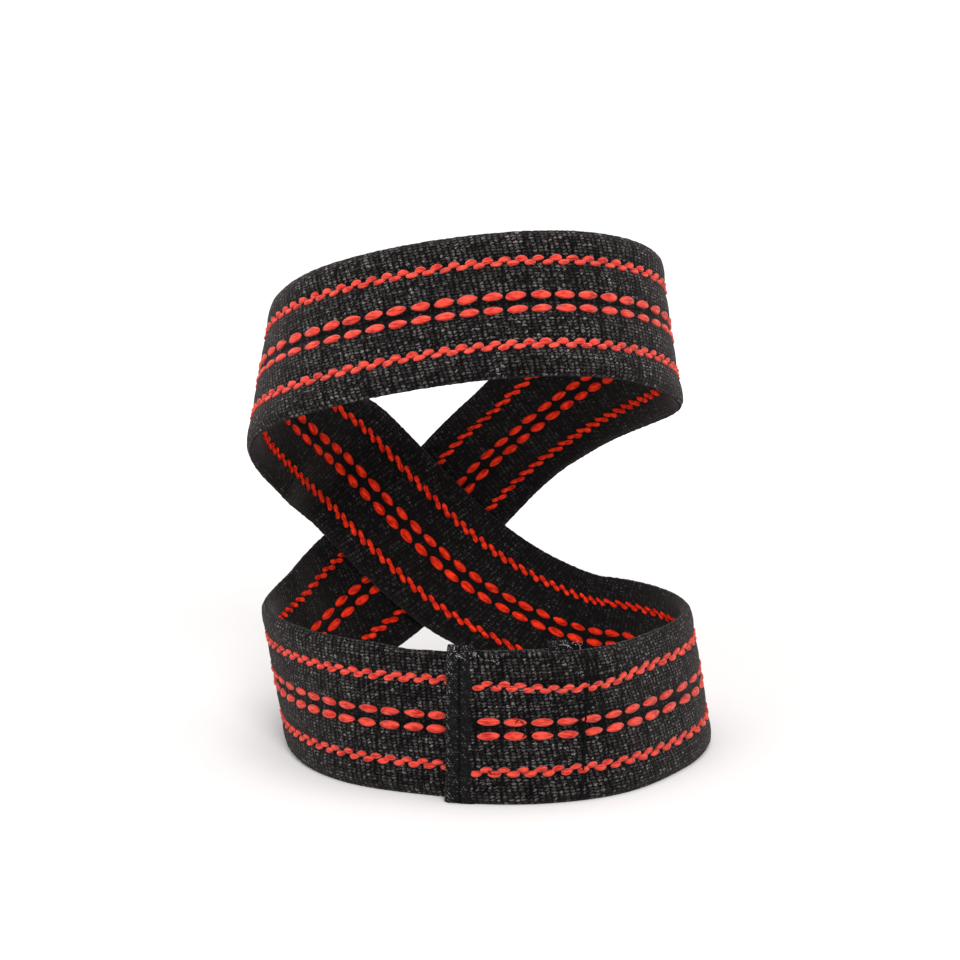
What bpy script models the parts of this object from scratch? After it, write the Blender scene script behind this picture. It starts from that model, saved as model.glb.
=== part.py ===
"""A figure-eight lifting strap: one strip of thick ribbed webbing wound into two loops.

The strip starts at the lower front and runs round the lower loop to the right, rises across the
back to the left of the upper loop, goes round its front, comes down across the back the other way,
runs round the left of the lower loop and laps behind its own start, where it is sewn. Metres, +Z
up, +X to the right, +Y to the back. The lower loop's edge rests on z = 0.
"""

import bmesh
import bpy
import numpy as np
from mathutils import Matrix

# Webbing
WEBBING_WIDTH = 0.038
RIB_THICKNESS = 0.0034
GROOVE_THICKNESS = 0.0018
SELVEDGE_THICKNESS = 0.0018
LAYER_GAP = 0.0003

# Loops, measured at the middle of the strip
LOOP_WIDTH = 0.117
LOOP_DEPTH = 0.094
LOOP_RISE = 0.107

# Sewn lap at the lower front
START_LEFT_OF_FRONT = 0.013
OVERLAP = 0.034
LAP_MARGIN = 0.004
LAP_RUN_OUT = 0.028

# The flat stretch where the two strands press on each other, each way from the crossing
CROSSING_REACH = 0.024
CROSSING_RUN_OUT = 0.024

# Thread bindings round the two cut ends
BINDING_LENGTH = 0.0043
BINDING_WALL = 0.0006
BINDING_GAP = 0.0003
BOUND_THICKNESS = 0.0016
BOUND_TAPER = 0.0012
BINDING_LEG_STEPS = 3
BINDING_NOSE_STEPS = 6
BINDING_ROWS = 10

# Webbing within this height of the floor is pressed flat on it
SOLE_DEPTH = 0.0003

# Grooves between the four woven ribs, as shares of the half width, from the lower edge up
RIB_EDGES = (-1.0, -0.58, 0.0, 0.58, 1.0)
RIB_STEPS = 4
SECTION_LENGTH = 0.0055
PATH_STEPS_PER_STATION = 60

# The middle of the strip at 16 stations, once round both loops from the lower front.
# side: to the right, as a share of half LOOP_WIDTH. back: as a share of half LOOP_DEPTH.
# rise: above the resting height, as a share of LOOP_RISE. lean: degrees, upper edge outwards.
STATIONS = (
    # side, back, rise, lean
    (0.08, -0.96, 0.00, -12),  # lower front
    (0.75, -0.58, 0.00, -15),
    (1.03, 0.25, 0.00, -9),  # lower right
    (0.64, 0.96, 0.00, -4),
    (-0.01, 0.98, 0.15, -5),  # strand in front at the crossing
    (-0.58, 0.90, 0.44, -6),
    (-0.99, 0.27, 0.71, -8),  # upper left
    (-0.83, -0.50, 0.885, -18),
    (-0.20, -0.80, 0.985, -22),  # upper front
    (0.49, -0.71, 1.00, -20),
    (0.84, -0.04, 0.89, -10),  # upper right
    (0.49, 0.69, 0.745, -28),
    (-0.02, 0.98, 0.49, -26),  # strand behind at the crossing
    (-0.57, 1.03, 0.15, -5),
    (-0.97, 0.43, 0.01, 12),  # lower left
    (-0.73, -0.54, 0.00, -2),
)
RESTING_RISE = 0.1
FRONT_STRAND = (3.6, 5.6)
BACK_STRAND = (11.6, 13.6)

# Where the strands are spread wide or drawn narrow beside the crossing. strand: 0 in front, 1
# behind. beyond and reach: along the strip from the crossing, as shares of WEBBING_WIDTH.
# wider: as a share of the width. lower: how much of it the lower edge takes, from 0 for half
# to 1 for all.
SPREADS = (
    # strand, beyond, reach, wider, lower
    (0, 0.13, 0.53, 0.06, 0.7),
    (1, 0.66, 0.40, 0.10, 0.3),
    (1, -0.58, 0.16, -0.08, 0.0),
)
SPREAD_RUN_OUT = 0.028


def unit(vectors):
    return vectors / np.linalg.norm(vectors, axis=-1, keepdims=True)


def smooth_step(x):
    x = np.clip(x, 0.0, 1.0)
    return x * x * (3.0 - 2.0 * x)


def plateau(length, start, end, run_out):
    """1 from start to end, easing to 0 over run_out on each side."""
    rising = smooth_step((length - start + run_out) / run_out)
    falling = smooth_step((end + run_out - length) / run_out)
    return rising * falling


def loop_slopes(values):
    """Slopes at the stations of the smoothest closed curve through them."""
    count = len(values)
    matrix = 4.0 * np.eye(count) + np.roll(np.eye(count), 1, 1) + np.roll(np.eye(count), -1, 1)
    return np.linalg.solve(matrix, 3.0 * (np.roll(values, -1) - np.roll(values, 1)))


def level_slopes(values):
    """Slopes that never carry the curve past a station's value."""
    after = np.roll(values, -1) - values
    before = values - np.roll(values, 1)
    same_way = after * before > 0.0
    total = np.where(same_way, after + before, 1.0)
    return np.where(same_way, 2.0 * after * before / total, 0.0)


def along_stations(values, slopes, turn):
    """Cubic curve through the stations, which close on themselves, at each turn."""
    first = np.floor(turn).astype(int)
    t = turn - first
    a = first % len(values)
    b = (first + 1) % len(values)
    start = (1.0 + 2.0 * t) * (1.0 - t) ** 2 * values[a] + t * (1.0 - t) ** 2 * slopes[a]
    end = t * t * (3.0 - 2.0 * t) * values[b] - t * t * (1.0 - t) * slopes[b]
    return start + end


def middle_line(turn):
    """Points on the middle of the strip, and its lean in radians, at each turn."""
    side, back, rise, lean = np.array(STATIONS, float).T
    leaning = np.radians(along_stations(lean, loop_slopes(lean), turn))
    rise_slopes = np.where(rise < RESTING_RISE, level_slopes(rise), loop_slopes(rise))
    x = along_stations(side, loop_slopes(side), turn) * LOOP_WIDTH / 2
    y = along_stations(back, loop_slopes(back), turn) * LOOP_DEPTH / 2
    z = along_stations(rise, rise_slopes, turn) * LOOP_RISE + WEBBING_WIDTH / 2 * np.cos(leaning)
    return np.stack([x, y, z], 1), leaning


def frames(turn):
    """Middle points and the strip's directions: along it, towards its upper edge, and outwards."""
    step = 0.001
    middle, leaning = middle_line(turn)
    along = unit(middle_line(turn + step)[0] - middle_line(turn - step)[0])
    upward = unit(np.array([0.0, 0.0, 1.0]) - along * along[:, 2:])
    outward = np.cross(along, upward)
    width = upward * np.cos(leaning)[:, None] + outward * np.sin(leaning)[:, None]
    return middle, along, width, np.cross(along, width)


# Length along the middle line, once round both loops
TURNS = np.linspace(0.0, len(STATIONS), len(STATIONS) * PATH_STEPS_PER_STATION + 1)
LINE = middle_line(TURNS)[0]
LENGTHS = np.concatenate([[0.0], np.cumsum(np.linalg.norm(np.diff(LINE, axis=0), axis=1))])
LOOP_LENGTH = float(LENGTHS[-1])
STRIP_START = -START_LEFT_OF_FRONT
STRIP_END = LOOP_LENGTH - START_LEFT_OF_FRONT + OVERLAP
LAYER_PITCH = RIB_THICKNESS + LAYER_GAP


def turn_at(length):
    return np.interp(length % LOOP_LENGTH, LENGTHS, TURNS)


def find_crossing():
    """Where the two strands cross, seen from the front: lengths along the strip, point and plane."""
    steps = 201
    front = np.linspace(*FRONT_STRAND, steps)
    back = np.linspace(*BACK_STRAND, steps)
    front_points = middle_line(front)[0]
    back_points = middle_line(back)[0]
    across = front_points[:, None, 0] - back_points[None, :, 0]
    upright = front_points[:, None, 2] - back_points[None, :, 2]
    i, j = np.unravel_index(np.hypot(across, upright).argmin(), (steps, steps))
    lengths = np.interp([front[i], back[j]], TURNS, LENGTHS)
    along = frames(np.array([front[i], back[j]]))[1]
    normal = unit(np.cross(along[1], along[0]))
    return lengths, (front_points[i] + back_points[j]) / 2, normal


CROSSING_LENGTHS, CROSSING_POINT, CROSSING_NORMAL = find_crossing()


def strip_frames(length):
    """The strip's middle, upper and outward directions at each length, with its layers apart."""
    middle, _, width, outward = frames(turn_at(length))
    outer_lap = plateau(length, -np.inf, STRIP_START + OVERLAP + LAP_MARGIN, LAP_RUN_OUT)
    inner_lap = plateau(length, STRIP_END - OVERLAP - LAP_MARGIN, np.inf, LAP_RUN_OUT)
    level = outward * np.array([1.0, 1.0, 0.0])
    level /= (level**2).sum(1, keepdims=True)
    middle = middle + level * ((outer_lap - inner_lap) * LAYER_PITCH / 2)[:, None]
    for crossing, side in zip(CROSSING_LENGTHS, (-1, 1)):
        start = crossing - CROSSING_REACH
        end = crossing + CROSSING_REACH
        pressed = plateau(length, start, end, CROSSING_RUN_OUT)[:, None]
        depth = ((middle - CROSSING_POINT) @ CROSSING_NORMAL)[:, None]
        middle = middle + pressed * (side * LAYER_PITCH / 2 - depth) * CROSSING_NORMAL
        outward = unit((1.0 - pressed) * outward + pressed * CROSSING_NORMAL)
        width = unit(width - (width * outward).sum(1, keepdims=True) * outward)
    for strand, beyond, reach, wider, lower in SPREADS:
        centre = CROSSING_LENGTHS[strand] + beyond * WEBBING_WIDTH
        start = centre - reach * WEBBING_WIDTH
        end = centre + reach * WEBBING_WIDTH
        spread = wider * plateau(length, start, end, SPREAD_RUN_OUT)[:, None]
        middle = middle - lower * spread * WEBBING_WIDTH / 2 * width
        width = width * (1.0 + spread)
    return middle, width, outward


def strip_points(length, share, offset):
    """Points at a length along the strip, a share of its half width and an offset outwards."""
    middle, width, outward = strip_frames(length)
    return middle + width * (share * WEBBING_WIDTH / 2)[:, None] + outward * offset[:, None]


def rib_columns():
    """Shares of the half width across the strip, and the webbing's thickness at each."""
    shares = [RIB_EDGES[0]]
    thicknesses = [SELVEDGE_THICKNESS]
    for low, high in zip(RIB_EDGES, RIB_EDGES[1:]):
        for step in range(1, RIB_STEPS + 1):
            angle = np.pi * step / RIB_STEPS
            shares.append(low + (high - low) * (1.0 - np.cos(angle)) / 2)
            swell = (RIB_THICKNESS - GROOVE_THICKNESS) * np.sin(angle)
            thicknesses.append(GROOVE_THICKNESS + swell)
    thicknesses[-1] = SELVEDGE_THICKNESS
    return np.array(shares), np.array(thicknesses)


def section_lengths():
    """Lengths along the strip of its sections, closer together at the two bound ends."""
    bound = BINDING_LENGTH + BINDING_GAP
    full = bound + BOUND_TAPER
    plain = STRIP_END - STRIP_START - 2 * full
    steps = max(1, round(plain / SECTION_LENGTH))
    middle = np.linspace(STRIP_START + full, STRIP_END - full, steps + 1)
    start = [STRIP_START, STRIP_START + bound]
    end = [STRIP_END - bound, STRIP_END]
    return np.concatenate([start, middle, end])


def rest_on_floor(obj):
    """Makes the object's mesh final, with its lowest edge pressed flat on the floor."""
    graph = bpy.context.evaluated_depsgraph_get()
    mesh = bpy.data.meshes.new_from_object(obj.evaluated_get(graph))
    for vertex in mesh.vertices:
        if vertex.co.z < SOLE_DEPTH:
            vertex.co.z = 0.0
    mesh.name = obj.name
    obj.modifiers.clear()
    obj.data = mesh
    mesh.shade_smooth()


def make_sheet(name, rows, columns, points, thicknesses, material):
    """A grid bent to the points, which run row after row, and given a thickness at each point."""
    grid = bmesh.new()
    bmesh.ops.create_grid(grid, x_segments=columns - 1, y_segments=rows - 1, size=0.5)
    order = []
    for vertex in grid.verts:
        row = round((vertex.co.y + 0.5) * (rows - 1))
        column = round((vertex.co.x + 0.5) * (columns - 1))
        order.append(row * columns + column)
        vertex.co = points[order[-1]]
    mesh = bpy.data.meshes.new(name)
    grid.to_mesh(mesh)
    grid.free()
    mesh.materials.append(material)
    obj = bpy.data.objects.new(name, mesh)
    collection.objects.link(obj)
    thickest = float(thicknesses.max())
    profile = obj.vertex_groups.new(name="thickness")
    for index, point in enumerate(order):
        profile.add([index], float(thicknesses[point]) / thickest, "REPLACE")
    wall = obj.modifiers.new("wall", "SOLIDIFY")
    wall.thickness = thickest
    wall.offset = 0.0
    wall.vertex_group = profile.name
    rest_on_floor(obj)


def make_webbing_strap(material):
    """The whole strip: a ribbon along the path, thick at its four ribs and thin at its cut ends."""
    lengths = section_lengths()
    shares, across = rib_columns()
    row_lengths = np.repeat(lengths, len(shares))
    row_shares = np.tile(shares, len(lengths))
    points = strip_points(row_lengths, row_shares, np.zeros(len(row_lengths)))
    from_end = np.minimum(row_lengths - STRIP_START, STRIP_END - row_lengths)
    bound = from_end < BINDING_LENGTH + 2 * BINDING_GAP
    thicknesses = np.where(bound, BOUND_THICKNESS, np.tile(across, len(lengths)))
    make_sheet("webbing_strap", len(lengths), len(shares), points, thicknesses, material)


def make_binding(name, cut, inwards, material):
    """Binding thread folded round a cut end. inwards is 1 or -1, from the cut into the strip."""
    half = BOUND_THICKNESS / 2 + BINDING_GAP + BINDING_WALL / 2
    nose = BINDING_GAP + BINDING_WALL / 2
    leg = BINDING_LENGTH * np.linspace(1.0, 0.0, BINDING_LEG_STEPS, endpoint=False)
    angles = np.linspace(0.0, np.pi, BINDING_NOSE_STEPS + 1)
    inside_cut = np.concatenate([leg, -nose * np.sin(angles), leg[::-1]])
    level = np.full(len(leg), half)
    outwards = np.concatenate([level, half * np.cos(angles), -level])
    lengths = np.tile(cut + inwards * inside_cut, BINDING_ROWS)
    shares = np.repeat(np.linspace(-1.0, 1.0, BINDING_ROWS), len(inside_cut))
    points = strip_points(lengths, shares, np.tile(outwards, BINDING_ROWS))
    thicknesses = np.full(len(points), BINDING_WALL)
    make_sheet(name, BINDING_ROWS, len(inside_cut), points, thicknesses, material)


def centre_on_origin():
    """Moves the object sideways so that the middle of its bounding box is over the origin."""
    meshes = [obj.data for obj in collection.objects]
    corners = np.array([vertex.co for mesh in meshes for vertex in mesh.vertices])
    middle = (corners.min(0) + corners.max(0)) / 2
    for mesh in meshes:
        mesh.transform(Matrix.Translation((-middle[0], -middle[1], 0.0)))


def make_material(name, colour, roughness):
    material = bpy.data.materials.new(name)
    material.use_nodes = True
    shader = material.node_tree.nodes["Principled BSDF"]
    shader.inputs["Base Color"].default_value = (*colour, 1.0)
    shader.inputs["Roughness"].default_value = roughness
    shader.inputs["Metallic"].default_value = 0.0
    return material


for old in list(bpy.data.objects):
    bpy.data.objects.remove(old, do_unlink=True)
collection = bpy.data.collections.new("figure_eight_strap")
bpy.context.scene.collection.children.link(collection)

black_webbing = make_material("black_webbing", (0.018, 0.016, 0.016), 0.85)
binding_thread = make_material("binding_thread", (0.012, 0.012, 0.014), 0.7)

make_webbing_strap(black_webbing)
make_binding("outer_end_binding", STRIP_START, 1, binding_thread)
make_binding("inner_end_binding", STRIP_END, -1, binding_thread)
centre_on_origin()
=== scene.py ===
"""The looks of the figure-eight lifting strap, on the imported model: metres, +Z up.

The webbing, its red woven floats, the bound ends and the seam threads are all laid out on one
flat strip, by length along it, distance across it and height off it, and bent to the two loops.
"""

import math

import bpy
import numpy as np
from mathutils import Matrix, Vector


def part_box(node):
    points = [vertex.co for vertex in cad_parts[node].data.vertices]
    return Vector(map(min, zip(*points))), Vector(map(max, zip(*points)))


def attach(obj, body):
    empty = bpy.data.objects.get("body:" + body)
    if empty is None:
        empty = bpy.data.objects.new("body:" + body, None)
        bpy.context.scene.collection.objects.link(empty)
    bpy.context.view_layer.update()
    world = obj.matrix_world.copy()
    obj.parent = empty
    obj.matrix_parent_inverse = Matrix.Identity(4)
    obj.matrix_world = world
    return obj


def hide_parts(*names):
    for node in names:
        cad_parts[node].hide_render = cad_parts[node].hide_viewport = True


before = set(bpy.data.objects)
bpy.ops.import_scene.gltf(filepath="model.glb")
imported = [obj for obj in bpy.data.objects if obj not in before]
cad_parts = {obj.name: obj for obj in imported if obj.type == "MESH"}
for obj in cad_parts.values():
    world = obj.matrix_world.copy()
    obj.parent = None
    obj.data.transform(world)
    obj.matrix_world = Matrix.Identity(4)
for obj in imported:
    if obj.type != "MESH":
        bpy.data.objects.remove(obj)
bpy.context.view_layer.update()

# Webbing
WEBBING_WIDTH = 0.038
RIB_THICKNESS = 0.0034
GROOVE_THICKNESS = 0.0018
SELVEDGE_THICKNESS = 0.0018
LAYER_GAP = 0.0003
RIB_EDGES = (-1.0, -0.58, 0.0, 0.58, 1.0)
RIB_FULLNESS = 0.75

# Loops, measured at the middle of the strip
LOOP_WIDTH = 0.117
LOOP_DEPTH = 0.094
LOOP_RISE = 0.107

# Sewn lap at the lower front
START_LEFT_OF_FRONT = 0.013
OVERLAP = 0.034
LAP_MARGIN = 0.004
LAP_RUN_OUT = 0.028

# The flat stretch where the two strands press on each other, each way from the crossing
CROSSING_REACH = 0.024
CROSSING_RUN_OUT = 0.024

# Cut ends, where the webbing is pressed thin
BOUND_THICKNESS = 0.0016
BINDING_LENGTH = 0.0043
BOUND_TAPER = 0.0012

# Webbing within this height of the floor is pressed flat on it
SOLE_DEPTH = 0.0003

# The upper edge at the lap: higher on the outer layer, lower to the left of the cut
EDGE_RISE = 0.0007
EDGE_RISE_REACH = 0.022
EDGE_RISE_RUN_OUT = 0.008
EDGE_DROP = 0.0009
EDGE_DROP_REACH = 0.012

# Red stripes: two rows of dashes along the middle, and a chain in each outer groove
DASH_PITCH = 0.00598
LAP_DASH_PITCH = 0.00646
LAP_REACH = 0.065
FIRST_DASH = 0.0101
DASH_MARGIN = 0.0074
OUTER_DASH = {"share": 0.88, "wide": 0.0022, "tall": 0.00110, "row": 0.00176, "slant": 2.0}
INNER_DASH = {"share": 0.90, "wide": 0.0023, "tall": 0.00110, "row": 0.00185, "slant": 6.0}
OUTER_CHAIN_PITCH = 0.0042
INNER_CHAIN_PITCH = 0.0040
OUTER_CHAIN_SHARE = 0.57
INNER_CHAIN_SHARE = 0.595
OUTER_CHAIN = {"long": 0.0032, "wide": 0.0016, "row": 0.00048, "slant": 7.0, "bow": 0.00012}
INNER_CHAIN = {"wide": 0.0015, "row": 0.00043, "slant": 21.0}
INNER_CHAIN_ROWS = (
    # side of the groove, start as a share of the pitch, length
    (-1, 0.0, 0.0029),
    (1, 0.5, 0.0028),
)
CHAIN_TALL = 0.00115
CHAIN_MARGIN = 0.0058
CHAIN_FIRST = 0.0017
INNER_CHAIN_SHORTER = 0.001

# The shape of a float of yarn, as shares of its height
FLOAT_ARCH = 0.25
FLOAT_SUNK = 0.15

# Where the stripes' steps are drawn out, and where they sink. The places are lengths from the
# start of the strip: start, end and run-out.
SIDE_STRETCH = 0.38
SIDE_STRETCH_AT = (0.066, 0.078, 0.030)
DRIFT = 0.0015
DRIFT_AT = (0.031, 0.038, 0.020)
DRIFT_FROM = 0.011

# Bound ends and the seam
FIRST_RIB = 0.0031
SECOND_RIB = 0.0031
THREAD_PITCH = 0.00058
SEAM_LENGTH = 0.0339
SEAM_SLANT = 0.147
END_SLANT = -0.037
THREAD_RIDGE = 0.00007
THREAD_COVER = 0.0004
PAST_THE_CUT = 0.0005
BESIDE_RUN_OUT = 0.0012
CORNER_ROUNDING = 0.0004
UPPER_CORNER = 0.0019
INSIDE_STEPS = 27
NOSE_STEPS = 7
BACK_STEPS = 6
BINDING_ROWS = 281
FRAY_RADIUS = 0.000045

# Steps of the webbing's mesh, and how far its edges stray
WEBBING_ROW = 0.0007
EDGE_FRAY = 0.00009
RIB_COLUMNS = 8
SELVEDGE_COLUMNS = 4
SELVEDGE_MARGIN = 1.05

# In the material the inner face lies this far beside the outer face
INNER_FACE_PLACE = 0.1

# The photo's camera, worked out from the strap's outline and stripes
FOCAL_PIXELS = 1828
PICTURE_PIXELS = 960
SENSOR_WIDTH = 36.0
CAMERA_DISTANCE = 0.5
CAMERA_ELEVATION = 9.45
CAMERA_TARGET = (-0.0005, 0.0, 0.0746)

# The middle of the strip at 16 stations, once round both loops from the lower front.
# side: to the right, as a share of half LOOP_WIDTH. back: as a share of half LOOP_DEPTH.
# rise: above the resting height, as a share of LOOP_RISE. lean: degrees, upper edge outwards.
STATIONS = (
    # side, back, rise, lean
    (0.08, -0.96, 0.00, -12),  # lower front
    (0.75, -0.58, 0.00, -15),
    (1.03, 0.25, 0.00, -9),  # lower right
    (0.64, 0.96, 0.00, -4),
    (-0.01, 0.98, 0.15, -5),  # strand in front at the crossing
    (-0.58, 0.90, 0.44, -6),
    (-0.99, 0.27, 0.71, -8),  # upper left
    (-0.83, -0.50, 0.885, -18),
    (-0.20, -0.80, 0.985, -22),  # upper front
    (0.49, -0.71, 1.00, -20),
    (0.84, -0.04, 0.89, -10),  # upper right
    (0.49, 0.69, 0.745, -28),
    (-0.02, 0.98, 0.49, -26),  # strand behind at the crossing
    (-0.57, 1.03, 0.15, -5),
    (-0.97, 0.43, 0.01, 12),  # lower left
    (-0.73, -0.54, 0.00, -2),
)
RESTING_RISE = 0.1
FRONT_STRAND = (3.6, 5.6)
BACK_STRAND = (11.6, 13.6)

# Where the strands are spread wide or drawn narrow beside the crossing. strand: 0 in front, 1
# behind. beyond and reach: along the strip from the crossing, as shares of WEBBING_WIDTH.
# wider: as a share of the width. lower: how much of it the lower edge takes, from 0 for half
# to 1 for all.
SPREADS = (
    # strand, beyond, reach, wider, lower
    (0, 0.13, 0.53, 0.06, 0.7),
    (1, 0.66, 0.40, 0.10, 0.3),
    (1, -0.58, 0.16, -0.08, 0.0),
)
SPREAD_RUN_OUT = 0.028
PATH_STEPS_PER_STATION = 60
MM = 1000.0
random = np.random.default_rng(8)


def unit(vectors):
    return vectors / np.linalg.norm(vectors, axis=-1, keepdims=True)


def smooth_step(x):
    x = np.clip(x, 0.0, 1.0)
    return x * x * (3.0 - 2.0 * x)


def plateau(length, start, end, run_out):
    """1 from start to end, easing to 0 over run_out on each side."""
    rising = smooth_step((length - start + run_out) / run_out)
    falling = smooth_step((end + run_out - length) / run_out)
    return rising * falling


def loop_slopes(values):
    """Slopes at the stations of the smoothest closed curve through them."""
    count = len(values)
    matrix = 4.0 * np.eye(count) + np.roll(np.eye(count), 1, 1) + np.roll(np.eye(count), -1, 1)
    return np.linalg.solve(matrix, 3.0 * (np.roll(values, -1) - np.roll(values, 1)))


def level_slopes(values):
    """Slopes that never carry the curve past a station's value."""
    after = np.roll(values, -1) - values
    before_it = values - np.roll(values, 1)
    same_way = after * before_it > 0.0
    total = np.where(same_way, after + before_it, 1.0)
    return np.where(same_way, 2.0 * after * before_it / total, 0.0)


def along_stations(values, slopes, turn):
    """Cubic curve through the stations, which close on themselves, at each turn."""
    first = np.floor(turn).astype(int)
    t = turn - first
    a = first % len(values)
    b = (first + 1) % len(values)
    start = (1.0 + 2.0 * t) * (1.0 - t) ** 2 * values[a] + t * (1.0 - t) ** 2 * slopes[a]
    end = t * t * (3.0 - 2.0 * t) * values[b] - t * t * (1.0 - t) * slopes[b]
    return start + end


def middle_line(turn):
    """Points on the middle of the strip, and its lean in radians, at each turn."""
    side, back, rise, lean = np.array(STATIONS, float).T
    leaning = np.radians(along_stations(lean, loop_slopes(lean), turn))
    rise_slopes = np.where(rise < RESTING_RISE, level_slopes(rise), loop_slopes(rise))
    x = along_stations(side, loop_slopes(side), turn) * LOOP_WIDTH / 2
    y = along_stations(back, loop_slopes(back), turn) * LOOP_DEPTH / 2
    z = along_stations(rise, rise_slopes, turn) * LOOP_RISE + WEBBING_WIDTH / 2 * np.cos(leaning)
    return np.stack([x, y, z], 1), leaning


def frames(turn):
    """Middle points and the strip's directions: along it, towards its upper edge, and outwards."""
    step = 0.001
    middle, leaning = middle_line(turn)
    along = unit(middle_line(turn + step)[0] - middle_line(turn - step)[0])
    upward = unit(np.array([0.0, 0.0, 1.0]) - along * along[:, 2:])
    outward = np.cross(along, upward)
    width = upward * np.cos(leaning)[:, None] + outward * np.sin(leaning)[:, None]
    return middle, along, width, np.cross(along, width)


TURNS = np.linspace(0.0, len(STATIONS), len(STATIONS) * PATH_STEPS_PER_STATION + 1)
LINE = middle_line(TURNS)[0]
LENGTHS = np.concatenate([[0.0], np.cumsum(np.linalg.norm(np.diff(LINE, axis=0), axis=1))])
LOOP_LENGTH = float(LENGTHS[-1])
STRIP_START = -START_LEFT_OF_FRONT
STRIP_END = LOOP_LENGTH - START_LEFT_OF_FRONT + OVERLAP
LAYER_PITCH = RIB_THICKNESS + LAYER_GAP


def turn_at(length):
    return np.interp(length % LOOP_LENGTH, LENGTHS, TURNS)


def find_crossing():
    """Where the two strands cross, seen from the front: lengths along the strip, point and plane."""
    steps = 201
    front = np.linspace(*FRONT_STRAND, steps)
    back = np.linspace(*BACK_STRAND, steps)
    front_points = middle_line(front)[0]
    back_points = middle_line(back)[0]
    across = front_points[:, None, 0] - back_points[None, :, 0]
    upright = front_points[:, None, 2] - back_points[None, :, 2]
    i, j = np.unravel_index(np.hypot(across, upright).argmin(), (steps, steps))
    lengths = np.interp([front[i], back[j]], TURNS, LENGTHS)
    along = frames(np.array([front[i], back[j]]))[1]
    normal = unit(np.cross(along[1], along[0]))
    return lengths, (front_points[i] + back_points[j]) / 2, normal


CROSSING_LENGTHS, CROSSING_POINT, CROSSING_NORMAL = find_crossing()


def strip_frames(length):
    """The strip's middle, upper and outward directions at each length, with its layers apart."""
    middle, _, width, outward = frames(turn_at(length))
    outer_lap = plateau(length, -np.inf, STRIP_START + OVERLAP + LAP_MARGIN, LAP_RUN_OUT)
    inner_lap = plateau(length, STRIP_END - OVERLAP - LAP_MARGIN, np.inf, LAP_RUN_OUT)
    level = outward * np.array([1.0, 1.0, 0.0])
    level /= (level**2).sum(1, keepdims=True)
    middle = middle + level * ((outer_lap - inner_lap) * LAYER_PITCH / 2)[:, None]
    for crossing, side in zip(CROSSING_LENGTHS, (-1, 1)):
        start = crossing - CROSSING_REACH
        end = crossing + CROSSING_REACH
        pressed = plateau(length, start, end, CROSSING_RUN_OUT)[:, None]
        depth = ((middle - CROSSING_POINT) @ CROSSING_NORMAL)[:, None]
        middle = middle + pressed * (side * LAYER_PITCH / 2 - depth) * CROSSING_NORMAL
        outward = unit((1.0 - pressed) * outward + pressed * CROSSING_NORMAL)
        width = unit(width - (width * outward).sum(1, keepdims=True) * outward)
    for strand, beyond, reach, wider, lower in SPREADS:
        centre = CROSSING_LENGTHS[strand] + beyond * WEBBING_WIDTH
        start = centre - reach * WEBBING_WIDTH
        end = centre + reach * WEBBING_WIDTH
        spread = wider * plateau(length, start, end, SPREAD_RUN_OUT)[:, None]
        middle = middle - lower * spread * WEBBING_WIDTH / 2 * width
        width = width * (1.0 + spread)
    return middle, width, outward


def half_thickness(length, share):
    """Half the webbing's thickness: full at the middle of each rib, thin in the grooves and ends."""
    edges = np.array(RIB_EDGES)
    rib = np.clip(np.searchsorted(edges, share, side="right") - 1, 0, len(edges) - 2)
    across = np.clip((share - edges[rib]) / (edges[rib + 1] - edges[rib]), 0.0, 1.0)
    full = (RIB_THICKNESS - GROOVE_THICKNESS) * np.sin(np.pi * across) ** RIB_FULLNESS
    thickness = GROOVE_THICKNESS + full
    from_end = np.minimum(length - STRIP_START, STRIP_END - length)
    bound = smooth_step((from_end - BINDING_LENGTH) / BOUND_TAPER)
    return (BOUND_THICKNESS + (thickness - BOUND_THICKNESS) * bound) / 2


def bend(length, across, height):
    """Points of the object from a length along the strip, a distance across it and a height off it."""
    length, across, height = np.broadcast_arrays(length, across, height)
    shape = length.shape
    steps, which = np.unique(length.ravel().round(7), return_inverse=True)
    middle, width, outward = (part[which] for part in strip_frames(steps))
    points = middle + width * across.ravel()[:, None] + outward * height.ravel()[:, None] + SHIFT
    points[points[:, 2] < SOLE_DEPTH, 2] = 0.0
    return points.reshape(*shape, 3)


def on_face(length, across, height, face):
    """bend, with the height counted from the webbing's face: 1 is the outer face, -1 the inner."""
    surface = half_thickness(length, np.clip(across / (WEBBING_WIDTH / 2), -1.0, 1.0))
    return bend(length, across, face * (surface + height))


def set_uv(obj, name, values):
    """Adds a UV map from two numbers for each vertex."""
    mesh = obj.data
    layer = mesh.uv_layers.new(name=name)
    corners = np.empty(len(mesh.loops), np.int32)
    mesh.loops.foreach_get("vertex_index", corners)
    layer.data.foreach_set("uv", values.reshape(-1, 2)[corners].astype(np.float32).ravel())


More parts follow.
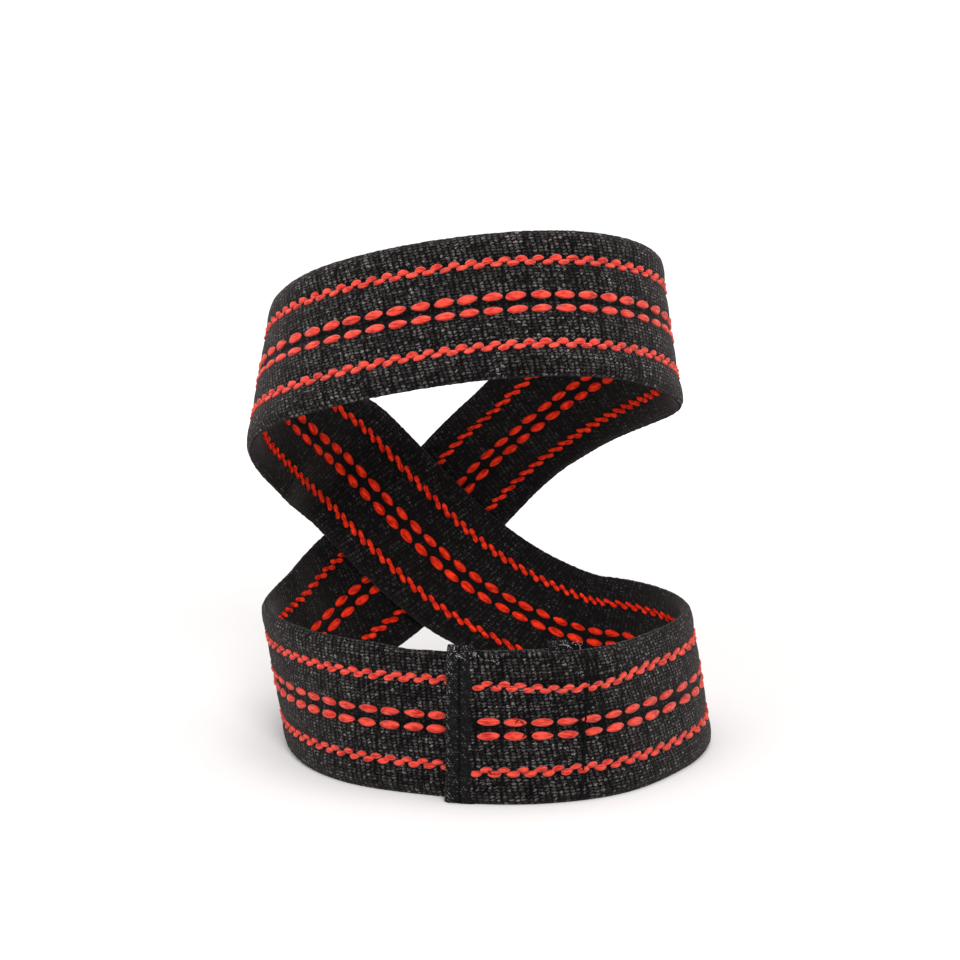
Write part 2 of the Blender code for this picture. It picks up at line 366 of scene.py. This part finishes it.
def shell_mesh(name, points, flat, material):
    """Piece from tubes of points, (tubes, rings, points round, 3), each closed at both ends.

    flat holds each point's place for the material, in mm.
    """
    tubes, rings, around = points.shape[:3]
    ring, turn = np.meshgrid(np.arange(rings - 1), np.arange(around), indexing="ij")
    after = (turn + 1) % around
    here = ring * around
    beyond = (ring + 1) * around
    corners = [here + turn, here + after, beyond + after, beyond + turn]
    start = (np.arange(tubes) * rings * around)[:, None, None]
    faces = (np.stack(corners, -1).reshape(-1, 4)[None] + start).reshape(-1, 4).tolist()
    for tube in range(tubes):
        first = tube * rings * around
        faces.append(list(range(first + around - 1, first - 1, -1)))
        faces.append(list(range(first + (rings - 1) * around, first + rings * around)))
    mesh = bpy.data.meshes.new(name)
    mesh.from_pydata(points.reshape(-1, 3).tolist(), [], faces)
    mesh.update()
    mesh.shade_smooth()
    mesh.materials.append(material)
    obj = bpy.data.objects.new(name, mesh)
    bpy.context.scene.collection.objects.link(obj)
    set_uv(obj, "place", flat)
    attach(obj, "root")
    return obj


class Nodes:
    """Short names for the nodes of one material."""

    def __init__(self, name):
        self.material = bpy.data.materials.new(name)
        self.material.use_nodes = True
        self.tree = self.material.node_tree
        self.shader = self.tree.nodes["Principled BSDF"]

    def node(self, kind, inputs=(), **settings):
        made = self.tree.nodes.new(kind)
        for key, value in settings.items():
            setattr(made, key, value)
        for key, value in dict(inputs).items():
            self.put(value, made.inputs[key])
        return made

    def put(self, value, socket):
        if isinstance(value, bpy.types.NodeSocket):
            self.tree.links.new(value, socket)
        else:
            socket.default_value = value

    def math(self, operation, *values):
        return self.node("ShaderNodeMath", enumerate(values), operation=operation).outputs[0]

    def times(self, first, second):
        return self.math("MULTIPLY", first, second)

    def scaled(self, value, factor, offset):
        """value times factor, plus offset."""
        return self.math("MULTIPLY_ADD", value, factor, offset)

    def ramp(self, value, low, high, start=0.0, end=1.0):
        made = self.node(
            "ShaderNodeMapRange",
            {0: value, 1: low, 2: high, 3: start, 4: end},
            interpolation_type="SMOOTHSTEP",
        )
        return made.outputs[0]

    def mix(self, factor, first, second):
        made = self.node("ShaderNodeMix", data_type="RGBA")
        self.put(factor, made.inputs["Factor"])
        self.put(first, made.inputs[6])
        self.put(second, made.inputs[7])
        return made.outputs[2]

    def uv(self, name):
        uv = self.node("ShaderNodeUVMap", uv_map=name).outputs[0]
        split = self.node("ShaderNodeSeparateXYZ", {0: uv})
        return split.outputs[0], split.outputs[1]

    def place(self):
        """The point's place on the flat strip, in mm: along it and across it."""
        return self.uv("place")

    def point(self, x, y, z=0.0):
        return self.node("ShaderNodeCombineXYZ", {0: x, 1: y, 2: z}).outputs[0]

    def noise(self, vector, scale, detail=2.0):
        inputs = {"Vector": vector, "Scale": scale, "Detail": detail}
        return self.node("ShaderNodeTexNoise", inputs).outputs[0]

    def finish(self, colour, roughness, height, distance, sheen, specular):
        bump = self.node("ShaderNodeBump", {"Height": height, "Distance": distance, "Strength": 1.0})
        shader = self.shader.inputs
        self.put(colour, shader["Base Color"])
        self.put(roughness, shader["Roughness"])
        self.put(bump.outputs[0], shader["Normal"])
        self.put(specular, shader["Specular IOR Level"])
        self.put(sheen, shader["Sheen Weight"])
        self.put(0.5, shader["Sheen Roughness"])
        self.put((1.0, 0.90, 0.87, 1.0), shader["Sheen Tint"])
        return self.material


def near(nodes, value, centre, reach, softness):
    """1 where value lies within reach of centre, falling to 0 over softness."""
    away = nodes.math("ABSOLUTE", nodes.math("SUBTRACT", value, centre))
    return nodes.ramp(away, reach, reach + softness, 1.0, 0.0)


def weave(nodes, along, across, long, wide, shift, slant, seed):
    """Rows of small slanting thread tops: their height, and a random number for each."""
    level = nodes.math("DIVIDE", across, wide)
    row = nodes.math("FLOOR", level)
    shifted = nodes.scaled(row, shift, nodes.math("DIVIDE", along, long))
    column = nodes.math("FLOOR", shifted)
    u = nodes.math("SUBTRACT", nodes.math("FRACT", shifted), 0.5)
    v = nodes.math("SUBTRACT", nodes.math("FRACT", level), 0.5)
    slanted = nodes.scaled(u, slant, v)
    away = nodes.math("ADD", nodes.math("POWER", u, 2.0), nodes.math("POWER", slanted, 2.0))
    top = nodes.ramp(away, 0.0, 0.23, 1.0, 0.0)
    cell = nodes.point(column, row, seed)
    chance = nodes.node("ShaderNodeTexWhiteNoise", {"Vector": cell}, noise_dimensions="3D").outputs[0]
    return top, chance


def webbing_material():
    nodes = Nodes("webbing_cloth")
    along, across = nodes.place()
    phase = nodes.uv("phase")[0]
    # Thread tops, shaken so that no row is straight
    wobble = nodes.noise(nodes.point(along, across), 1.0, 3.0)
    shaken_across = nodes.scaled(wobble, 1.3, across)
    shaken_along = nodes.scaled(wobble, -1.7, along)
    top, chance = weave(nodes, shaken_along, shaken_across, 1.42, 0.84, 0.13, -0.4, 1.0)
    other_face = nodes.math("GREATER_THAN", across, INNER_FACE_PLACE * MM / 2)
    shifted = nodes.scaled(other_face, -INNER_FACE_PLACE * MM, across)
    # Darker, flatter cloth: painted shade in the grooves under the stripes and on the inner face; also
    # between the dashes and along the seam
    # Painted shade: the grooves under the dashes and the chains are darker, with less grain
    dash_groove_shade = near(nodes, shifted, 0.0, 2.5, 0.6)
    groove = WEBBING_WIDTH / 2 * RIB_EDGES[3] * MM
    chain_groove_shade = near(nodes, nodes.math("ABSOLUTE", shifted), groove, 0.8, 0.6)
    groove_shade = nodes.math("MAXIMUM", dash_groove_shade, chain_groove_shade)
    grain_after_shade = nodes.scaled(groove_shade, -0.7, 1.0)
    ladder = near(nodes, nodes.math("FRACT", phase), 0.5, 0.03, 0.06)
    grain_after_shade = nodes.times(grain_after_shade, nodes.scaled(ladder, -0.75, 1.0))
    seam_place = nodes.scaled(shifted, -SEAM_SLANT, along)
    seam = near(nodes, seam_place, (STRIP_START + SEAM_LENGTH) * MM, 0.30, 0.55)
    grain_after_shade = nodes.times(grain_after_shade, nodes.scaled(seam, -0.85, 1.0))
    # Painted shade on the inner face, which faces into the loops: it keeps only 0.28 of its grain
    grain_after_shade = nodes.times(grain_after_shade, nodes.scaled(other_face, -0.72, 1.0))
    # Cloudy patches, specks and fibres
    cloud = nodes.noise(nodes.point(along, across, 3.0), 0.2, 3.0)
    patch = nodes.ramp(cloud, 0.32, 0.68, 0.55, 1.35)
    grain_after_shade = nodes.times(grain_after_shade, patch)
    fine = nodes.noise(nodes.point(nodes.times(along, 0.7), across, 3.0), 3.2, 2.0)
    speck = nodes.ramp(fine, 0.48, 0.70, 0.0, 1.35)
    fibre_across = nodes.scaled(along, 1.0, nodes.times(across, 4.5))
    fibre_place = nodes.point(nodes.times(along, 1.1), fibre_across)
    fibre = nodes.ramp(nodes.noise(fibre_place, 1.0, 2.0), 0.36, 0.64, 0.10, 1.7)
    body = nodes.times(top, nodes.scaled(chance, 0.34, 0.03))
    body = nodes.times(body, fibre)
    fleck = nodes.times(nodes.math("POWER", chance, 3.0), nodes.times(top, speck))
    light = nodes.times(nodes.math("ADD", body, fleck), grain_after_shade)
    # Painted shade on the inner face: flat cloth, its gaps a lighter dark grey than the outer face's
    gap = nodes.mix(other_face, (0.0010, 0.0009, 0.0009, 1.0), (0.0036, 0.0033, 0.0033, 1.0))
    colour = nodes.mix(light, gap, (0.165, 0.152, 0.149, 1.0))
    height = nodes.times(top, nodes.scaled(chance, 0.5, 0.5))
    height = nodes.times(height, grain_after_shade)
    return nodes.finish(colour, 0.9, height, 0.00038, 0.075, 0.012)


def yarn_material(name, dark, bright, sheen):
    nodes = Nodes(name)
    along, across = nodes.place()
    strand_across = nodes.scaled(along, 0.5, nodes.times(across, 4.2))
    strand_place = nodes.point(nodes.times(along, 0.30), strand_across)
    strand = nodes.noise(strand_place, 1.0, 3.0)
    float_side_shade = nodes.uv("float_side_shade")[0]
    patch = nodes.noise(nodes.point(nodes.times(along, 0.5), across), 0.8, 1.0)
    mixed = nodes.math("ADD", nodes.times(strand, 0.55), nodes.times(patch, 0.45))
    # Painted shade: each float's sides and underside take the dark colour; only its top shows the
    # strand tones
    tone = nodes.times(nodes.ramp(mixed, 0.36, 0.62), nodes.ramp(float_side_shade, 0.15, 0.85))
    colour = nodes.mix(tone, (*dark, 1.0), (*bright, 1.0))
    return nodes.finish(colour, 0.7, strand, 0.0006, sheen, 0.04)


def thread_material():
    nodes = Nodes("binding_thread_look")
    along, across = nodes.place()
    top, chance = weave(nodes, along, across, 0.75, THREAD_PITCH * MM, 0.5, 0.5, 5.0)
    fleck = nodes.times(nodes.math("POWER", chance, 2.0), top)
    cloud = nodes.noise(nodes.point(along, across, 7.0), 1.8, 3.0)
    broken = nodes.ramp(cloud, 0.38, 0.66, 0.05, 1.5)
    fleck = nodes.times(fleck, broken)
    dark_from = (FIRST_RIB + 0.4 * SECOND_RIB) * MM
    dark_to = (FIRST_RIB + 0.55 * SECOND_RIB) * MM
    beyond = nodes.ramp(along, dark_from, dark_to, 1.0, 0.3)
    fleck = nodes.times(fleck, beyond)
    corner = nodes.ramp(across, 14.5, 18.5, 1.0, 2.6)
    fleck = nodes.times(fleck, corner)
    rim = near(nodes, along, 0.15, 0.25, 0.7)
    fleck = nodes.times(fleck, nodes.scaled(rim, 2.0, 0.7))
    wave = nodes.noise(nodes.point(along, across), 0.8, 3.0)
    wavy = nodes.scaled(wave, 1.4, nodes.math("SUBTRACT", along, 0.7))
    groove = near(nodes, wavy, FIRST_RIB * MM, 0.0, 0.6)
    colour = nodes.mix(fleck, (0.0050, 0.0048, 0.0050, 1.0), (0.095, 0.092, 0.092, 1.0))
    colour = nodes.mix(groove, colour, (0.0016, 0.0016, 0.0016, 1.0))
    return nodes.finish(colour, 0.9, top, 0.00025, 0.02, 0.025)


def plain_material(name, colour):
    nodes = Nodes(name)
    along, across = nodes.place()
    fibre = nodes.noise(nodes.point(along, across), 3.0, 2.0)
    dark = tuple(part * 0.6 for part in colour)
    mixed = nodes.mix(fibre, (*dark, 1.0), (*colour, 1.0))
    return nodes.finish(mixed, 0.8, fibre, 0.0001, 0.02, 0.03)


def floor_material():
    nodes = Nodes("pale_floor")
    place = nodes.node("ShaderNodeNewGeometry").outputs["Position"]
    away = nodes.node("ShaderNodeVectorMath", {0: place}, operation="LENGTH").outputs["Value"]
    # Painted light and shade: the floor is paler far off, where the lamps don't reach, and darker
    # round the strap, which deepens its shade inside the loops
    pale = nodes.mix(nodes.ramp(away, 0.15, 0.8), (0.60, 0.585, 0.58, 1.0), (0.95, 0.95, 0.95, 1.0))
    nodes.put(pale, nodes.shader.inputs["Base Color"])
    nodes.put(0.9, nodes.shader.inputs["Roughness"])
    nodes.put(0.0, nodes.shader.inputs["Specular IOR Level"])
    return nodes.material


def section():
    """Across the webbing and round its edges: distance across, share of the half thickness, place."""
    half = WEBBING_WIDTH / 2
    shares = []
    for low, high in zip(RIB_EDGES, RIB_EDGES[1:]):
        steps = np.arange(RIB_COLUMNS) / RIB_COLUMNS
        shares.extend(low + (high - low) * (1.0 - np.cos(np.pi * steps)) / 2)
    shares = np.array(shares[1:])
    angle = np.linspace(0.0, np.pi, SELVEDGE_COLUMNS + 2)
    curl = SELVEDGE_THICKNESS / 2
    top_across = half - curl + curl * np.sin(angle)
    top_side = np.cos(angle)
    inside = np.abs(shares * half) < half - curl * SELVEDGE_MARGIN
    face = shares[inside] * half
    across = np.concatenate([face, top_across, face[::-1], -top_across])
    side = np.concatenate([np.ones(len(face)), top_side, -np.ones(len(face)), -top_side])
    place = np.where(side > 0, across, across + INNER_FACE_PLACE)
    return across, side, place


def stretched(length):
    """How much longer the stripes' steps are where the strip turns away to the right of the lap."""
    return 1.0 + SIDE_STRETCH * plateau(length - STRIP_START, *SIDE_STRETCH_AT)


def steps_along(first, last, pitch):
    """Lengths along the strip of the floats of one row of a chain."""
    lengths = [first]
    while lengths[-1] < last:
        lengths.append(lengths[-1] + pitch * float(stretched(lengths[-1])))
    return lengths[:-1]


def drift(length, across):
    """How far the outer face's stripes sink towards the lower edge at the end of the lap."""
    share = np.clip((across + DRIFT_FROM) / (2 * DRIFT_FROM), 0.0, 1.2)
    return DRIFT * plateau(length - STRIP_START, *DRIFT_AT) * share**2


def dash_middles():
    """Lengths along the strip of the middles of the dashes, further apart near the sewn lap."""
    middles = [STRIP_START + FIRST_DASH]
    while middles[-1] < STRIP_END - DASH_MARGIN:
        from_end = min(middles[-1] - STRIP_START, STRIP_END - middles[-1])
        lap = smooth_step(1.5 - from_end / LAP_REACH)
        pitch = DASH_PITCH + (LAP_DASH_PITCH - DASH_PITCH) * lap
        middles.append(middles[-1] + pitch * float(stretched(middles[-1])))
    return np.array(middles[:-1])


def make_webbing(material):
    across, side, place = section()
    rows = np.arange(round((STRIP_END - STRIP_START) / WEBBING_ROW) + 1)
    length = STRIP_START + (STRIP_END - STRIP_START) * rows / rows[-1]
    grid_length, grid_across = np.meshgrid(length, across, indexing="ij")
    curl = SELVEDGE_THICKNESS / 2
    share = np.clip(grid_across / (WEBBING_WIDTH / 2), -1.0, 1.0)
    inner_share = np.clip(grid_across / (WEBBING_WIDTH / 2 - curl * SELVEDGE_MARGIN), -1.0, 1.0)
    half = half_thickness(grid_length, share)
    edge = np.abs(inner_share) >= 1.0
    half = np.where(edge, np.minimum(half, curl), half)
    fray = random.uniform(-EDGE_FRAY, EDGE_FRAY, (len(length), 2))
    frayed = np.where(grid_across > 0, fray[:, :1], fray[:, 1:]) * edge
    over = plateau(grid_length, STRIP_START, STRIP_START + EDGE_RISE_REACH, EDGE_RISE_RUN_OUT)
    cut = STRIP_END - OVERLAP
    under = plateau(grid_length, cut - EDGE_DROP_REACH, cut, EDGE_DROP_REACH)
    lifted = (EDGE_RISE * over - EDGE_DROP * under) * edge * (grid_across > 0)
    points = bend(grid_length, grid_across + frayed + lifted, half * side)
    flat = np.stack(np.broadcast_arrays(grid_length * MM, place * MM), -1)
    obj = shell_mesh("webbing", points[None], flat[None], material)
    middles = dash_middles()
    phase = (grid_length - middles[0]) / DASH_PITCH
    inside = (grid_length > middles[0]) & (grid_length < middles[-1])
    phase = np.where(inside, np.interp(grid_length, middles, np.arange(len(middles))), phase)
    set_uv(obj, "phase", np.stack([phase, phase], -1))
    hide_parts("webbing_strap")
    return obj


def make_floats(name, floats, material, rings=11, around=12, pointed=0.62):
    """Floats of yarn: each row is length, across, long, wide, tall, slant, bow, face."""
    floats = np.array(floats)
    length, across, long, wide, tall, slant, bow, face = (column[:, None, None] for column in floats.T)
    along = np.sin(np.linspace(-np.pi / 2, np.pi / 2, rings))[None, :, None]
    angle = np.linspace(0.0, 2 * np.pi, around, endpoint=False)[None, None, :]
    lopsided = random.uniform(-0.12, 0.12, (len(floats), 1, 1))
    fat_ahead = np.maximum(1.0 - along, 0.002) ** (pointed + lopsided)
    fat = fat_ahead * np.maximum(1.0 + along, 0.002) ** (pointed - lopsided)
    slant = np.radians(slant)
    forward = along * long / 2
    round_it = np.cos(angle)
    aside = wide / 2 * fat * round_it + bow * (0.5 - along**2)
    u = length + forward * np.cos(slant) - aside * np.sin(slant)
    v = across + forward * np.sin(slant) + aside * np.cos(slant)
    v = v - np.where(face > 0, drift(u, v), 0.0)
    h = tall * (FLOAT_ARCH * (1.0 - along**2) - FLOAT_SUNK + fat / 2 * np.sin(angle))
    points = on_face(u, v, h, face)
    shift = random.uniform(0.0, 100.0, (len(floats), 1, 1))
    beside = (round_it * wide / 2) * MM + 3 * shift
    flat = np.stack(np.broadcast_arrays(forward * MM + shift, beside), -1)
    obj = shell_mesh(name, points, flat, material)
    # The height round each float, used for the painted shade on the float's sides
    float_side_shade = np.broadcast_to(np.sin(angle), points.shape[:3])
    set_uv(obj, "float_side_shade", np.stack([float_side_shade, float_side_shade], -1))
    return obj


def jitter(size):
    return random.uniform(-size, size)


def dashes(middles, look, face):
    """Rows for make_floats: the two rows of dashes on one face."""
    pitch = np.gradient(middles)
    rows = []
    for row in (-1, 1):
        for middle, step in zip(middles, pitch):
            long = step * look["share"] * (1.0 + jitter(0.04))
            wide = look["wide"] * (1.0 + jitter(0.06))
            place = row * look["row"] + jitter(0.00006)
            slant = look["slant"] + jitter(4.0)
            middle = middle + jitter(0.00012)
            rows.append((middle, place, long, wide, look["tall"], slant, jitter(0.0001), face))
    return rows


def outer_chain():
    """Rows for make_floats: two rows of short floats, half a pitch apart, in each outer groove."""
    rows = []
    for side in (-1, 1):
        groove = side * WEBBING_WIDTH / 2 * OUTER_CHAIN_SHARE
        for row in (-1, 1):
            later = OUTER_CHAIN_PITCH / 2 if row > 0 else 0.0
            first = STRIP_START + CHAIN_MARGIN + CHAIN_FIRST + later
            for middle in steps_along(first, STRIP_END - CHAIN_MARGIN, OUTER_CHAIN_PITCH):
                long = OUTER_CHAIN["long"] * float(stretched(middle)) * (1.0 + jitter(0.07))
                wide = OUTER_CHAIN["wide"] * (1.0 + jitter(0.08))
                slant = OUTER_CHAIN["slant"] + jitter(5.0)
                place = groove + row * OUTER_CHAIN["row"]
                middle = middle + jitter(0.00014)
                bow = row * OUTER_CHAIN["bow"]
                rows.append((middle, place, long, wide, CHAIN_TALL, slant, bow, 1))
    return rows


def inner_chain():
    """Rows for make_floats: two rows of slanting floats in each outer groove of the inner face."""
    rows = []
    for side in (-1, 1):
        groove = side * WEBBING_WIDTH / 2 * INNER_CHAIN_SHARE
        for row, start, long in INNER_CHAIN_ROWS:
            first = STRIP_START + CHAIN_MARGIN + CHAIN_FIRST + start * INNER_CHAIN_PITCH
            last = STRIP_END - CHAIN_MARGIN - INNER_CHAIN_SHORTER
            for middle in steps_along(first, last, INNER_CHAIN_PITCH):
                stretch = float(stretched(middle)) * (1.0 + jitter(0.06))
                wide = INNER_CHAIN["wide"] * (1.0 + jitter(0.07))
                place = groove + row * INNER_CHAIN["row"]
                slant = INNER_CHAIN["slant"] + jitter(3.0)
                middle = middle + jitter(0.0001)
                rows.append((middle, place, long * stretch, wide, CHAIN_TALL, slant, 0.0, -1))
    return rows


def make_stripes(outer, inner):
    middles = dash_middles()
    make_floats("red_dashes_outer", dashes(middles, OUTER_DASH, 1), outer)
    make_floats("red_dashes_inner", dashes(middles, INNER_DASH, -1), inner)
    make_floats("red_chains_outer", outer_chain(), outer, 9, 10, 0.5)
    make_floats("red_chains_inner", inner_chain(), inner, 9, 10, 0.38)


def bulge(distance, middle, half):
    """A half ellipse: 1 at its middle and 0 from half away."""
    return np.maximum(1.0 - ((distance - middle) / half) ** 2, 0.0) ** 0.5


def make_binding(name, cut, inwards, material, node):
    """The bound end: thread wrapped round the cut as a bulging rib, and a flatter rib beside it."""
    reach = FIRST_RIB + SECOND_RIB
    low = BOUND_THICKNESS / 2
    top = RIB_THICKNESS / 2
    inside = np.linspace(reach, 0.0, INSIDE_STEPS)
    first = bulge(inside, 0.42 * FIRST_RIB, 0.56 * FIRST_RIB)
    second = bulge(inside - FIRST_RIB, 0.2 * SECOND_RIB, 0.24 * SECOND_RIB)
    beside = smooth_step((reach - inside) / BESIDE_RUN_OUT)
    fullness = np.maximum(np.maximum(first, 0.72 * second), 0.45 * beside)
    outer = low + THREAD_COVER + (top - low) * fullness
    angles = np.linspace(0.0, np.pi, NOSE_STEPS + 2)[1:-1]
    back = np.linspace(0.0, BINDING_LENGTH, BACK_STEPS)
    distance = np.concatenate([inside, -PAST_THE_CUT * np.sin(angles), back])
    nose_height = np.linspace(outer[-1], -top, NOSE_STEPS + 2)[1:-1]
    height = np.concatenate([outer, nose_height, np.full(len(back), -top)])
    rows = np.linspace(-1.0, 1.0, BINDING_ROWS)
    across = rows * WEBBING_WIDTH / 2 + np.where(rows > 0, rows, 0.0) ** 8 * UPPER_CORNER
    rounded = np.maximum(1.0 - np.abs(rows) ** 30, 0.04) ** 0.5
    ridge = THREAD_RIDGE * np.abs(np.sin(np.pi * across / THREAD_PITCH))
    length = cut + inwards * (distance[None, :] - CORNER_ROUNDING * (rounded[:, None] - 1.0))
    length = length + END_SLANT * across[:, None]
    ridged = height[None, :] * rounded[:, None] + np.sign(height)[None, :] * ridge[:, None]
    points = bend(length, across[:, None] + 0 * length, ridged)
    flat = np.stack(np.broadcast_arrays(distance[None, :] * MM, across[:, None] * MM), -1)
    obj = shell_mesh(name, points[None], flat[None], material)
    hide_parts(node)
    return obj


def make_threads(name, paths, radius, material):
    """Loose threads: each path is points of length, across and height off the strip's middle."""
    around = 5
    angle = np.linspace(0.0, 2 * np.pi, around, endpoint=False)
    tubes = []
    for path in paths:
        path = np.array(path)
        along = unit(np.gradient(path, axis=0))
        first = unit(np.cross(along, (0.3, 0.2, 0.93)))
        second = np.cross(along, first)
        cosine = np.cos(angle)[None, :, None]
        sine = np.sin(angle)[None, :, None]
        ring = first[:, None] * cosine + second[:, None] * sine
        tubes.append(path[:, None] + radius * ring)
    tubes = np.array(tubes)
    points = bend(tubes[..., 0], tubes[..., 1], tubes[..., 2])
    flat = tubes[..., :2] * MM
    obj = shell_mesh(name, points, flat, material)
    return obj


def fray_paths():
    """Short curly threads at the top corners of the two bound ends."""
    paths = []
    steps = np.linspace(0.0, 1.0, 7)
    clumps = (
        # length from the start, spread, across, spread, height, count
        (0.0012, 0.0016, 0.0190, 0.0014, 0.0021, 14),
        (0.0004, 0.0005, 0.0125, 0.0050, 0.0021, 12),
        (0.0080, 0.0060, 0.0182, 0.0012, 0.0018, 10),
        (0.0330, 0.0035, 0.0206, 0.0008, 0.0008, 8),
    )
    for length, wide, across, high, height, count in clumps:
        for _ in range(count):
            along = STRIP_START + length + jitter(wide)
            place = (along, across + jitter(high), height + jitter(0.0003))
            size = random.uniform(0.0001, 0.0006)
            heading = random.uniform(0.0, 2 * np.pi) + jitter(2.5) * steps
            way = np.stack([np.cos(heading), np.sin(heading), 0.3 * np.sin(3 * heading)], 1)
            paths.append(np.array(place) + way * size * steps[:, None])
    long_threads = (
        # length from the start, across, heading and turn in radians, size, height
        (-0.0007, 0.0166, 1.35, -1.3, 0.0052, 0.0016),
        (-0.0003, 0.0166, 1.45, -1.2, 0.0040, 0.0019),
        (0.0290, 0.0206, 0.20, -0.5, 0.0040, 0.0004),
        (0.0345, 0.0206, -0.3, -1.4, 0.0026, 0.0004),
    )
    for start, across, heading, turn, size, height in long_threads:
        bent = heading + turn * steps
        way = np.stack([np.cos(bent), np.sin(bent), 0.0 * bent], 1)
        place = np.array((STRIP_START + start, across, height))
        paths.append(place + way * size * steps[:, None])
    return paths


def seam_rows():
    """Rows for make_floats: the black stitches that sew the lap down, and six stray threads."""
    rows = []
    for across in np.arange(-0.0172, 0.0186, 0.0021):
        length = STRIP_START + SEAM_LENGTH + SEAM_SLANT * across + jitter(0.0001)
        rows.append((length, across, 0.0024, 0.00050, 0.0014, 82.0 + jitter(4.0), 0.0, 1))
    strays = (
        # length from the start, across, slant
        (0.0168, 0.00190, 62.0),
        (0.0181, 0.00170, -48.0),
        (0.0187, -0.00150, 52.0),
        (0.0109, 0.01100, 55.0),
        (0.0118, 0.01090, -50.0),
        (0.0105, -0.0109, -50.0),
    )
    for length, across, slant in strays:
        rows.append((STRIP_START + length, across, 0.0023, 0.0003, 0.00165, slant, 0.0002, 1))
    return rows


def area_light(name, energy, size, location, target):
    data = bpy.data.lights.new(name, "AREA")
    data.energy = energy
    data.shape = "DISK"
    data.size = size
    obj = bpy.data.objects.new(name, data)
    obj.location = location
    obj.rotation_euler = (Vector(target) - Vector(location)).to_track_quat("-Z", "Y").to_euler()
    bpy.context.scene.collection.objects.link(obj)


def make_camera():
    elevation = math.radians(CAMERA_ELEVATION)
    target = Vector(CAMERA_TARGET) + Vector(SHIFT.tolist())
    data = bpy.data.cameras.new("camera")
    data.sensor_width = SENSOR_WIDTH
    data.lens = FOCAL_PIXELS / PICTURE_PIXELS * SENSOR_WIDTH
    data.clip_start = 0.01
    data.clip_end = 50.0
    obj = bpy.data.objects.new("camera", data)
    away = Vector((0.0, -math.cos(elevation), math.sin(elevation)))
    obj.location = target + away * CAMERA_DISTANCE
    obj.rotation_euler = (-away).to_track_quat("-Z", "Y").to_euler()
    bpy.context.scene.collection.objects.link(obj)
    bpy.context.scene.camera = obj


def make_stage():
    bpy.ops.mesh.primitive_plane_add(size=30.0, location=(0.0, 0.0, 0.0))
    floor = bpy.context.object
    floor.name = "floor"
    floor.data.materials.append(floor_material())
    world = bpy.data.worlds.new("studio")
    world.use_nodes = True
    backdrop = world.node_tree.nodes["Background"]
    backdrop.inputs["Color"].default_value = (1.0, 1.0, 1.0, 1.0)
    backdrop.inputs["Strength"].default_value = 1.15
    bpy.context.scene.world = world
    aim = (0.0, 0.0, 0.07)
    area_light("key", 7.0, 0.4, (0.15, -0.8, 0.62), aim)
    area_light("fill", 2.5, 0.6, (-0.65, -0.6, 0.4), aim)
    area_light("top", 3.0, 0.6, (0.0, 0.15, 0.95), aim)
    bpy.context.scene.view_settings.view_transform = "Standard"


def shift_to_frame():
    """How far the strip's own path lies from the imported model, sideways."""
    lengths = np.linspace(STRIP_START, STRIP_END, 400)
    points = []
    for share in np.linspace(-1.0, 1.0, 17):
        for face in (-1, 1):
            half = face * half_thickness(lengths, np.full(len(lengths), share))
            middle, width, outward = strip_frames(lengths)
            points.append(middle + width * share * WEBBING_WIDTH / 2 + outward * half[:, None])
    points = np.concatenate(points)
    own = (points.min(0) + points.max(0)) / 2
    low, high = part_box("webbing_strap")
    cad = (np.array(low) + np.array(high)) / 2
    return np.array([cad[0] - own[0], cad[1] - own[1], 0.0])


SHIFT = shift_to_frame()
make_webbing(webbing_material())
outer_yarn = yarn_material("red_yarn_outside", (0.29, 0.003, 0.001), (0.76, 0.064, 0.036), 0.19)
inner_yarn = yarn_material("red_yarn_inside", (0.38, 0.006, 0.001), (0.96, 0.044, 0.012), 0.02)
make_stripes(outer_yarn, inner_yarn)
thread = thread_material()
make_binding("outer_bound_end", STRIP_START, 1, thread, "outer_end_binding")
make_binding("inner_bound_end", STRIP_END, -1, thread, "inner_end_binding")
stitches = seam_rows()
seam_thread = plain_material("seam_thread", (0.0045, 0.0045, 0.0048))
make_floats("seam_stitches", stitches, seam_thread)
pale = plain_material("pale_fibre", (0.42, 0.42, 0.43))
make_threads("frayed_threads", fray_paths(), FRAY_RADIUS, pale)
make_stage()
make_camera()
